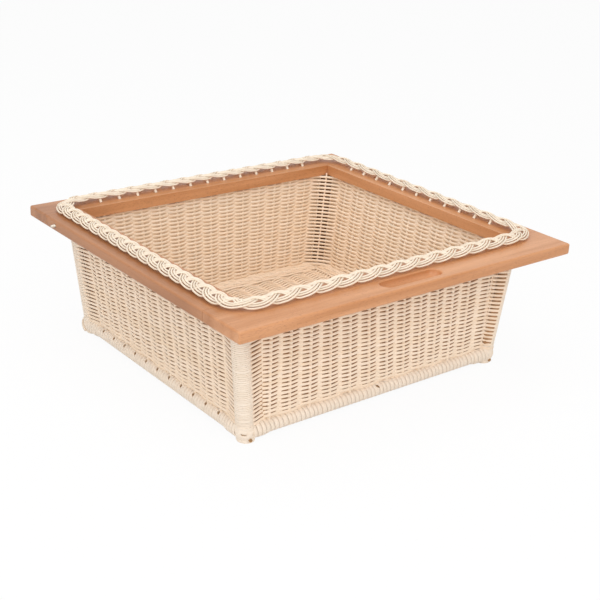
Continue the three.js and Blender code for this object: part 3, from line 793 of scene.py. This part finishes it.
class Wall:
    """One woven wall: which way it runs and faces, the line of its stakes, and the post at its end."""

    def __init__(self, side, way, out, middle, line, stakes_each_way, corner):
        self.side = side
        self.way = np.array(way + (0,), float)
        self.out = np.array(out + (0,), float)
        self.axis, depth_axis = ("x", "y") if way[0] else ("y", "x")
        self.middle = middle
        self.line = line
        self.comes_in = getattr(POST_AT_RAILS - POST_AT_FLOOR, depth_axis)
        self.corner = corner
        self.holes = [number * STAKE_PITCH for number in range(-stakes_each_way, stakes_each_way + 1)]
        self.tops = list(self.holes)
        if side == "front":
            self.tops[-1] += PAIR_SHIFT

    def point(self, place, offset, height):
        """A point at a place along the wall, offset outwards from its stakes."""
        line = self.line - self.comes_in * drop(height)
        return self.way * (self.middle + place) + self.out * (line + offset) + np.array((0, 0, height))

    def stake_place(self, top, height):
        """Where along the wall a stake is at a height."""
        if self.side == "front":
            return top + (front_drift(top) * drop(height) if top < self.tops[-1] else 0)
        return top * post_reach(self.axis, height) / post_reach(self.axis, RAIL_UNDERSIDE)

    def pair_place(self, end, height):
        """Where along the wall a stake of the last pair is: apart at the top, together lower down."""
        apart = PAIR_APART * max(0, 1 - PAIR_CLOSING * drop(height))
        return self.stake_place(self.tops[-1], height) + end * apart / 2

    def post_place(self, end, height):
        """Where along the wall the post at one of its ends is at a height."""
        return end * (post_reach(self.axis, height) - POST_SET_IN)

    def row_marks(self, row, height, swing):
        """Where a row passes the stakes and the posts, as marks for weave_line."""
        sign = 1 if row % 2 else -1
        marks = [
            (self.stake_place(top, height), -sign * (-1) ** number * swing, 0)
            for number, top in enumerate(self.tops)
        ]
        post = post_reach(self.axis, height)
        if sign < 0:
            inner = INSIDE_POST / math.sqrt(2)
            first = (inner - post, -POST_SET_IN - inner, 1)
            return [first] + marks + [(post - inner, -POST_SET_IN - inner, -1)]
        first = (-post, UNDER_BINDING, 0)
        if self.side != "front":
            return [first] + marks + [(post, UNDER_BINDING, 0)]
        rise = math.sqrt(OVER_BINDING ** 2 - OVER_TO ** 2)
        over = (post - OVER_TO, rise - POST_SET_IN, OVER_TO / rise)
        return [first] + marks + [over, (post + TUCK_PAST, UNDER_BINDING, -1)]

    def rows(self, seed):
        """The paths of the rows from the top down, and how tall each rod is along its path."""
        draw = random.Random(seed)
        paths, rod_heights = [], []
        for row in range(int((TOP_ROW - BOTTOM_ROW) / ROW_PITCH) + 1):
            height = TOP_ROW - row * ROW_PITCH + draw.uniform(-ROW_UNEVENNESS, ROW_UNEVENNESS)
            swing = np.interp(height, (BOTTOM_ROW, FLAT_ROWS_TOP), (FLAT_SWING, ROW_SWING))
            line = weave_line(self.row_marks(row, height, swing))
            start = draw.uniform(0, ROW_WANDER_START)
            wander = [noise.noise(Vector((start, place / ROW_WANDER_LENGTH, 0))) for place, offset in line]
            paths.append(np.array([
                self.point(place, offset, height + ROW_WANDER * level)
                for (place, offset), level in zip(line, wander)
            ]))
            at_stake = [min(1, abs(offset) / swing) for place, offset in line]
            lowest = np.interp(height, (BOTTOM_ROW, FLAT_ROWS_TOP), (ROW_BETWEEN, ROW_AT_STAKE))
            rod_heights.append(np.interp(at_stake, (0, 1), (ROW_BETWEEN, lowest)))
        return paths, rod_heights


def rods_by_post(corner, heights):
    """Paths of the thin upright rods on a post's inner side, which the rows inside the post pass."""
    across, back = CORNERS[corner]
    paths = []
    for spread in CORNER_RODS:
        turn = math.atan2(-back, -across) + math.radians(spread)
        out_x = CORNER_ROD_FROM_AXIS * math.cos(turn)
        out_y = CORNER_ROD_FROM_AXIS * math.sin(turn)
        paths.append(np.array([lean(corner) @ Vector((out_x, out_y, height)) for height in heights]))
    return paths


def painted_gap_sheet(mesh, wall, end_place, foot, thickness):
    """Add an upright sheet of painted light and shade in a wall, whose two ends a function gives, and return
    its faces.
    """
    sheet = bmesh.ops.create_cube(mesh, size=1)["verts"]
    for point in sheet:
        height = TOP_ROW if point.co.z > 0 else foot
        place = end_place(math.copysign(1, point.co.x), height)
        point.co = wall.point(place, point.co.y * thickness, height)
    return {face for point in sheet for face in point.link_faces}


def painted_gap_round_post(mesh, corner, facing, chord):
    """Add a bow of the painted-shade sheet over one side of a bound post, behind the rows there, and return
    its faces.
    """
    length = TOP_ROW - CORNER_WEB_FOOT
    made = bmesh.ops.create_cone(
        mesh, cap_ends=True, segments=ROUND_SIDES, radius1=WEB_ROUND_POST, radius2=WEB_ROUND_POST,
        depth=length, matrix=Matrix.Translation((0, 0, CORNER_WEB_FOOT + length / 2)),
    )["verts"]
    edges = {edge for point in made for edge in point.link_edges}
    faces = {face for point in made for face in point.link_faces}
    across = facing.normalized().to_3d()
    cut = bmesh.ops.bisect_plane(
        mesh, geom=made + list(edges) + list(faces), plane_co=across * chord, plane_no=across,
        clear_inner=True,
    )
    rim = [part for part in cut["geom_cut"] if isinstance(part, bmesh.types.BMEdge)]
    kept = [part for part in cut["geom"] if isinstance(part, bmesh.types.BMVert)]
    bmesh.ops.holes_fill(mesh, edges=rim)
    bmesh.ops.transform(mesh, matrix=lean(corner), verts=kept)
    return {face for point in kept for face in point.link_faces}


WALLS = (
    Wall("front", (1, 0), (0, -1), 0, -FRONT_STAKES, FRONT_STAKES_EACH_WAY, "front_right"),
    Wall("right", (0, 1), (1, 0), BASKET_MIDDLE, SIDE_STAKES, SIDE_STAKES_EACH_WAY, "back_right"),
    Wall("back", (1, 0), (0, 1), 0, BACK_STAKES, FRONT_STAKES_EACH_WAY, "back_left"),
    Wall("left", (0, 1), (-1, 0), BASKET_MIDDLE, SIDE_STAKES, SIDE_STAKES_EACH_WAY, "front_left"),
)
WEAVE = rattan("woven_rattan", *WEAVE_COLOURS)
# Sheets of painted shade and light that fill the weave's gaps, seen between the rows.
PAINTED_GAP = painted_gap_fill("painted_gap_fill", *PAINTED_GAP_COLOURS)
CORNER_PAINTED_GAP = painted_gap_fill("corner_painted_gap_fill", *CORNER_PAINTED_GAP_COLOURS)
INNER_PAINTED_GAP = painted_gap_fill("inner_painted_gap_fill", *INNER_PAINTED_GAP_COLOURS)
stake_heights = np.linspace(RAIL_UNDERSIDE + STAKE_INTO_RAIL, STAKE_FOOT, STAKE_STEPS)
for seed, wall in enumerate(WALLS):
    mesh = bmesh.new()
    rows, row_heights = wall.rows(seed)
    stakes = [
        np.array([wall.point(wall.stake_place(top, height), 0, height) for height in stake_heights])
        for top in wall.tops
    ]
    lay_rods(mesh, rows, ROW_DEPTH, ROW_SEED + seed, heights=row_heights)
    lay_rods(mesh, stakes[:-1], STAKE_THICKNESS, STAKE_SEED + seed)
    lay_rods(mesh, rods_by_post(wall.corner, stake_heights), CORNER_ROD, CORNER_ROD_SEED + seed)
    web = painted_gap_sheet(mesh, wall, wall.post_place, BOTTOM_ROW, WEB_THICKNESS)
    corner_web = painted_gap_round_post(mesh, wall.corner, -Vector(CORNERS[wall.corner]), WEB_INSIDE_CHORD)
    if wall.side == "front":
        pair = [
            np.array([wall.point(wall.pair_place(end, height), 0, height) for height in stake_heights])
            for end in (-1, 1)
        ]
        lay_rods(mesh, pair, PAIR_THICKNESS, LAST_STAKE_SEED + seed)
        corner_web |= painted_gap_sheet(mesh, wall, wall.pair_place, PAIR_WEB_FOOT, PAIR_WEB_THICKNESS)
        web |= painted_gap_round_post(mesh, wall.corner, Vector((-1, -1)), WEB_OUTSIDE_CHORD)
    else:
        lay_rods(mesh, stakes[-1:], STAKE_THICKNESS, LAST_STAKE_SEED + seed)
    close_ends(mesh)
    # Outward faces of the sheet take brown painted shade, inward faces pale painted light; the bows behind
    # the posts and the sheet between the paired stakes take the darkest painted shade.
    for face in web:
        face.material_index = 1 if face.normal.dot(Vector(wall.out)) > 0 else 3
    for face in corner_web:
        face.material_index = 2
    piece = add_piece(f"wall_{wall.side}_weave", mesh, WEAVE, "weave", f"wall_{wall.side}")
    for material in (PAINTED_GAP, CORNER_PAINTED_GAP, INNER_PAINTED_GAP):
        piece.data.materials.append(material)

# Floor. The same weave laid flat: round sticks run from front to back between the bars, and weavers cross
# them from side to side, over a thin sheet that fills the gaps with pale painted light. Where it meets the
# walls, round rods lie along the bars and cover them: EDGE_RODS gives how far inside the post line and how
# high each lies.
FLOOR_LOW, FLOOR_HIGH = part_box("floor")
FLOOR_PITCH = 0.0033
FLOOR_WEAVER = 0.0026
FLOOR_WEAVER_WIDTH = 0.0042
FLOOR_STICK = 0.0046
FLOOR_SWING = 0.0031
EDGE_ROD = 0.0036
EDGE_RODS = ((0.0020, 0.0262), (0.0049, 0.0250), (0.0078, 0.0236), (0.0104, 0.0218), (0.0128, 0.0196))
EDGE_ROD_WAVE = 0.0005
EDGE_ROD_STEPS = 96
FLAT_ROUNDNESS = 1
WEAVER_SEED = 41
STICK_SEED = 42
EDGE_ROD_SEED = 43
floor_middle = (FLOOR_LOW + FLOOR_HIGH) / 2
floor_size = FLOOR_HIGH - FLOOR_LOW
stick_places = WALLS[0].holes
weavers = []
weaver_count = int(floor_size.y / FLOOR_PITCH)
for number in range(weaver_count):
    back = FLOOR_LOW.y + (number + 0.5) * floor_size.y / weaver_count
    sign = 1 if number % 2 else -1
    marks = [(place, sign * (-1) ** count * FLOOR_SWING, 0) for count, place in enumerate(stick_places)]
    ends = [(edge, -sign * FLOOR_SWING, 0) for edge in (FLOOR_LOW.x, FLOOR_HIGH.x)]
    line = weave_line(ends[:1] + marks + ends[1:])
    weavers.append(np.array([(place, floor_middle.z + offset, -back) for place, offset in line]))
sticks = [
    np.array([(place, back, floor_middle.z) for back in np.linspace(FLOOR_LOW.y, FLOOR_HIGH.y, STAKE_STEPS)])
    for place in stick_places
]
edge_rods = []
for axis, other, sign in (("x", "y", -1), ("x", "y", 1), ("y", "x", -1), ("y", "x", 1)):
    for number, (inwards, height) in enumerate(EDGE_RODS):
        reach = post_reach(axis, height)
        aside = sign * (post_reach(other, height) + POST_SET_IN - inwards)
        path = []
        for along in np.linspace(-reach, reach, EDGE_ROD_STEPS):
            wave = EDGE_ROD_WAVE * math.sin(2 * math.pi * along / STAKE_PITCH + number * math.pi)
            spot = (along, aside + wave) if axis == "x" else (aside + wave, along)
            path.append((spot[0], BASKET_MIDDLE + spot[1], height))
        edge_rods.append(np.array(path))
floor_mesh = bmesh.new()
widths = [np.full(len(weaver), FLOOR_WEAVER_WIDTH) for weaver in weavers]
lay_rods(floor_mesh, weavers, FLOOR_WEAVER, WEAVER_SEED, heights=widths, roundness=FLAT_ROUNDNESS)
lay_flat = Matrix.Rotation(math.pi / 2, 3, "X")
bmesh.ops.rotate(floor_mesh, cent=(0, 0, 0), matrix=lay_flat, verts=floor_mesh.verts)
lay_rods(floor_mesh, sticks, FLOOR_STICK, STICK_SEED)
lay_rods(floor_mesh, edge_rods, EDGE_ROD, EDGE_ROD_SEED, roundness=FLAT_ROUNDNESS)
# A thin sheet under the floor weave, coloured as pale painted light seen through its gaps.
web_size = Vector((floor_size.x, floor_size.y, WEB_THICKNESS))
web_lie = Matrix.LocRotScale(floor_middle, None, web_size)
web = bmesh.ops.create_cube(floor_mesh, size=1, matrix=web_lie)["verts"]
close_ends(floor_mesh)
for face in {face for corner in web for face in corner.link_faces}:
    face.material_index = 1
piece = add_piece("floor_weave", floor_mesh, WEAVE, "weave", "floor")
piece.data.materials.append(INNER_PAINTED_GAP)

# Border. The stake ends come up through the boards and are plaited in three strands of three rods, which
# locks basket and frame together. The plait is arched and its outer edge lies on the boards. Under its inner
# edge the stakes show. On the left side the strands cross over the other way about.
BORDER_LOW, BORDER_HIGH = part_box("border")
BORDER_WIDTH = 0.026
BORDER_CORNER = 0.035
CORNER_STEPS = 24
HEADING_STEP = 0.0005
SIDE_LOOPS = {"right": 12, "back": 16, "left": 17, "front": 15}
LOOP_STEPS = 8
STRANDS = 3
STRAND_SWING = 0.0088
STRAND_FLATTER = 0.14
STRAND_RISE = 0.0015
STRAND_ARCH = 0.0049
STRAND_CROWN = 0.0001
PLAIT_SET_OUT = 0.001
INNER_LIFT = 0.0034
EDGE_DROP = 0.75
EDGE_DROP_POWER = 6
TURNOVER_LOOPS = 0.7
STRAND_RODS = (-1, 0, 1)
ROD_THICKNESS = 0.0024
ROD_SPACING = 0.0033
ROD_FAN = -0.0004
NUB_THICKNESS = 0.0042
NUB_FROM_STAKES = 0.0062
NUB_LEAN = 0.0045
NUB_HEIGHT = 0.0065
NUB_STEPS = 5
BORDER_COLOURS = ("F6EADA", "EBDAC2", "D2B68E")
PLAIT_SEED = 51
NUB_SEED = 52
inset = BORDER_WIDTH / 2 + BORDER_CORNER
corner_points = []
for across, back, start in ((1, -1, -90), (1, 1, 0), (-1, 1, 90), (-1, -1, 180)):
    centre_x = BORDER_HIGH.x - inset if across > 0 else BORDER_LOW.x + inset
    centre_y = BORDER_HIGH.y - inset if back > 0 else BORDER_LOW.y + inset
    for angle in np.radians(np.linspace(start, start + 90, CORNER_STEPS + 1)):
        out_x = BORDER_CORNER * np.cos(angle)
        out_y = BORDER_CORNER * np.sin(angle)
        corner_points.append((centre_x + out_x, centre_y + out_y))
ring = np.array(corner_points + corner_points[:1])
ring_along = np.concatenate(([0], np.cumsum(np.linalg.norm(np.diff(ring, axis=0), axis=1))))
corner_marks = list(ring_along[CORNER_STEPS // 2::CORNER_STEPS + 1])
corner_marks.append(corner_marks[0] + ring_along[-1])


def on_ring(along, out, height):
    """A point at a distance along the border's middle line, moved outwards from it."""
    spot, ahead, behind = (
        np.array([np.interp(place % ring_along[-1], ring_along, ring[:, axis]) for axis in (0, 1)])
        for place in (along, along + HEADING_STEP, along - HEADING_STEP)
    )
    heading = (ahead - behind) / np.linalg.norm(ahead - behind)
    return np.array((spot[0] + heading[1] * out, spot[1] - heading[0] * out, height))


def plaited_rod(strand, rod):
    """The way of one rod of a strand all round the border, from the middle of the front right corner."""
    path = []
    loops_before = 0
    for side, side_start, side_end in zip(SIDE_LOOPS, corner_marks, corner_marks[1:]):
        loops = SIDE_LOOPS[side]
        loop_length = (side_end - side_start) / loops
        for done in np.arange(loops * LOOP_STEPS) / LOOP_STEPS:
            angle = 2 * math.pi * (loops_before + done + strand) / STRANDS
            swing = math.sin(angle)
            veer = STRAND_SWING * (math.cos(angle) + 3 * STRAND_FLATTER * math.cos(3 * angle))
            heading = math.atan(veer * 2 * math.pi / STRANDS / loop_length)
            shift = rod * (ROD_SPACING + ROD_FAN * swing ** 2)
            out = STRAND_SWING * (swing + STRAND_FLATTER * math.sin(3 * angle)) + shift * math.cos(heading)
            turnover = -1
            if side == "left":
                turnover = min(1, 2 * min(done, loops - done) / TURNOVER_LOOPS - 1)
            over = STRAND_RISE * (1 + turnover * math.sin(2 * angle))
            over *= 1 - EDGE_DROP * swing ** EDGE_DROP_POWER
            tilt = 2 * out / BORDER_WIDTH
            arch = STRAND_ARCH * (1 - tilt * tilt) + INNER_LIFT * (1 - tilt) / 2 - STRAND_CROWN * rod * rod
            path.append(on_ring(
                side_start + loop_length * done - shift * math.sin(heading),
                PLAIT_SET_OUT + out,
                BORDER_LOW.z + ROD_THICKNESS / 2 + over + arch,
            ))
        loops_before += loops
    return np.array(path)


rods = [plaited_rod(strand, rod) for strand in range(STRANDS) for rod in STRAND_RODS]
nubs = []
for wall in WALLS:
    rise = wall.out * NUB_LEAN + np.array((0, 0, NUB_HEIGHT))
    for hole in wall.holes:
        foot = wall.way * (wall.middle + hole) + wall.out * (wall.line + NUB_FROM_STAKES)
        foot[2] = RAIL_TOP - ARRIS
        nubs.append(np.array([foot + rise * share for share in np.linspace(0, 1, NUB_STEPS)]))
BORDER_RATTAN = rattan("plaited_rattan", *BORDER_COLOURS)
border_mesh = bmesh.new()
lay_rods(border_mesh, rods, ROD_THICKNESS, PLAIT_SEED, closed=True)
lay_rods(border_mesh, nubs, NUB_THICKNESS, NUB_SEED)
close_ends(border_mesh)
add_piece("border_plait", border_mesh, BORDER_RATTAN, "border", "border")

# Studio. A white table without a visible edge, a broad soft lamp at the front, weaker ones at the left and
# overhead, and even light from all round. The camera stands where the photographer stood.
CAMERA_AZIMUTH = math.radians(-38.69)
CAMERA_ELEVATION = math.radians(22.71)
CAMERA_ROLL = math.radians(2.59)
CAMERA_DISTANCE = 1.5565
CAMERA_TARGET = Vector((-0.07473, -0.11106, 0.133))
FOCAL_PIXELS = 1174.2
IMAGE_PIXELS = 600
SENSOR = 36
TABLE_SIZE = 12
TABLE_SHADOW = 0.07
TABLE_GREY = (0.9, 0.9, 0.9, 1)
WHITE = (1, 1, 1, 1)
AMBIENT = 0.58
LAMPS = (
    ("key", (-0.3, -2.0, 1.5), 1.7, 20),
    ("fill", (-1.9, -0.4, 1.3), 1.8, 12),
    ("top", (-0.3, 0.1, 2.2), 2.0, 14),
)
LAMP_AIM = Vector((0, 0, 0.1))


def seen(paint):
    """1 for what the camera sees, straight or in a gloss, and 0 for all other light."""
    return paint.node("LightPath", output="Is Camera Ray") + paint.node("LightPath", output="Is Glossy Ray")


def light_table():
    """Plain white to the eye, with a share of real shading that keeps the basket's shadow."""
    material, paint = new_finish("white_table")
    white = paint.node("Emission", {"Color": WHITE, "Strength": 1})
    lit = paint.node("BsdfDiffuse", {"Color": TABLE_GREY})
    share = seen(paint) * (1 - TABLE_SHADOW)
    mixed = paint.node("MixShader", {0: share, 1: lit, 2: white})
    paint.node("OutputMaterial", {"Surface": mixed})
    return material


table_mesh = bmesh.new()
bmesh.ops.create_grid(table_mesh, x_segments=1, y_segments=1, size=TABLE_SIZE / 2)
bmesh.ops.translate(table_mesh, vec=(0, 0, -FLOOR_CLEARANCE), verts=table_mesh.verts)
table_data = bpy.data.meshes.new("table")
table_mesh.to_mesh(table_data)
table_mesh.free()
table_data.materials.append(light_table())
table = new_object("table", table_data)

world = bpy.data.worlds.new("studio")
world.use_nodes = True
world.node_tree.nodes.clear()
sky = Shade(world.node_tree)
soft = sky.node("Background", {"Color": WHITE, "Strength": AMBIENT})
white = sky.node("Background", {"Color": WHITE, "Strength": 1})
mixed = sky.node("MixShader", {0: seen(sky), 1: soft, 2: white})
sky.node("OutputWorld", {"Surface": mixed})
bpy.context.scene.world = world

for name, place, size, watts in LAMPS:
    lamp = bpy.data.lights.new(name, "AREA")
    lamp.size = size
    lamp.energy = watts
    lamp_object = new_object(name, lamp)
    lamp_object.location = place
    aim = LAMP_AIM - Vector(place)
    lamp_object.rotation_euler = aim.to_track_quat("-Z", "Y").to_euler()

level = math.cos(CAMERA_ELEVATION)
right = Vector((math.cos(CAMERA_AZIMUTH), math.sin(CAMERA_AZIMUTH), 0))
view = Vector((-right.y * level, right.x * level, -math.sin(CAMERA_ELEVATION)))
above = right.cross(view)
rolled_right = right * math.cos(CAMERA_ROLL) + above * math.sin(CAMERA_ROLL)
rolled_above = above * math.cos(CAMERA_ROLL) - right * math.sin(CAMERA_ROLL)
turn = Matrix((rolled_right, rolled_above, -view)).transposed().to_4x4()
lens = bpy.data.cameras.new("camera")
lens.sensor_width = SENSOR
lens.lens = SENSOR * FOCAL_PIXELS / IMAGE_PIXELS
camera = new_object("camera", lens)
camera.matrix_world = Matrix.Translation(CAMERA_TARGET - view * CAMERA_DISTANCE) @ turn
bpy.context.scene.camera = camera
bpy.context.scene.view_settings.view_transform = "Standard"
